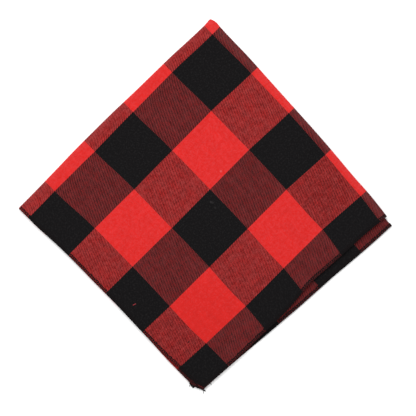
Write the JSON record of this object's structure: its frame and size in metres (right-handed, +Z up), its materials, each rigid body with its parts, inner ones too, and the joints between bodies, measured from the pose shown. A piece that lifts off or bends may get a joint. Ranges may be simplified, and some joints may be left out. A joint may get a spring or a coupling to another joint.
{
  "type": "folded dog bandana",
  "caption": "Square cotton twill bandana in a red and black check with a narrow stitched hem, folded into a quarter and lying flat as a diamond.",
  "frame": {"origin": "centre of the folded cloth's bounding box, on the surface it rests on", "axes": "+Z up off the surface, +Y towards the closed centre corner of the cloth, +X to the right seen from above"},
  "size_m": [0.3484, 0.3458, 0.0063],
  "materials": {
    "cotton_twill": "matt brushed cotton twill, red and black check, black stitched edge"
  },
  "bodies": {
    "root": {"cloth": "cotton_twill"}
  },
  "joints": []
}
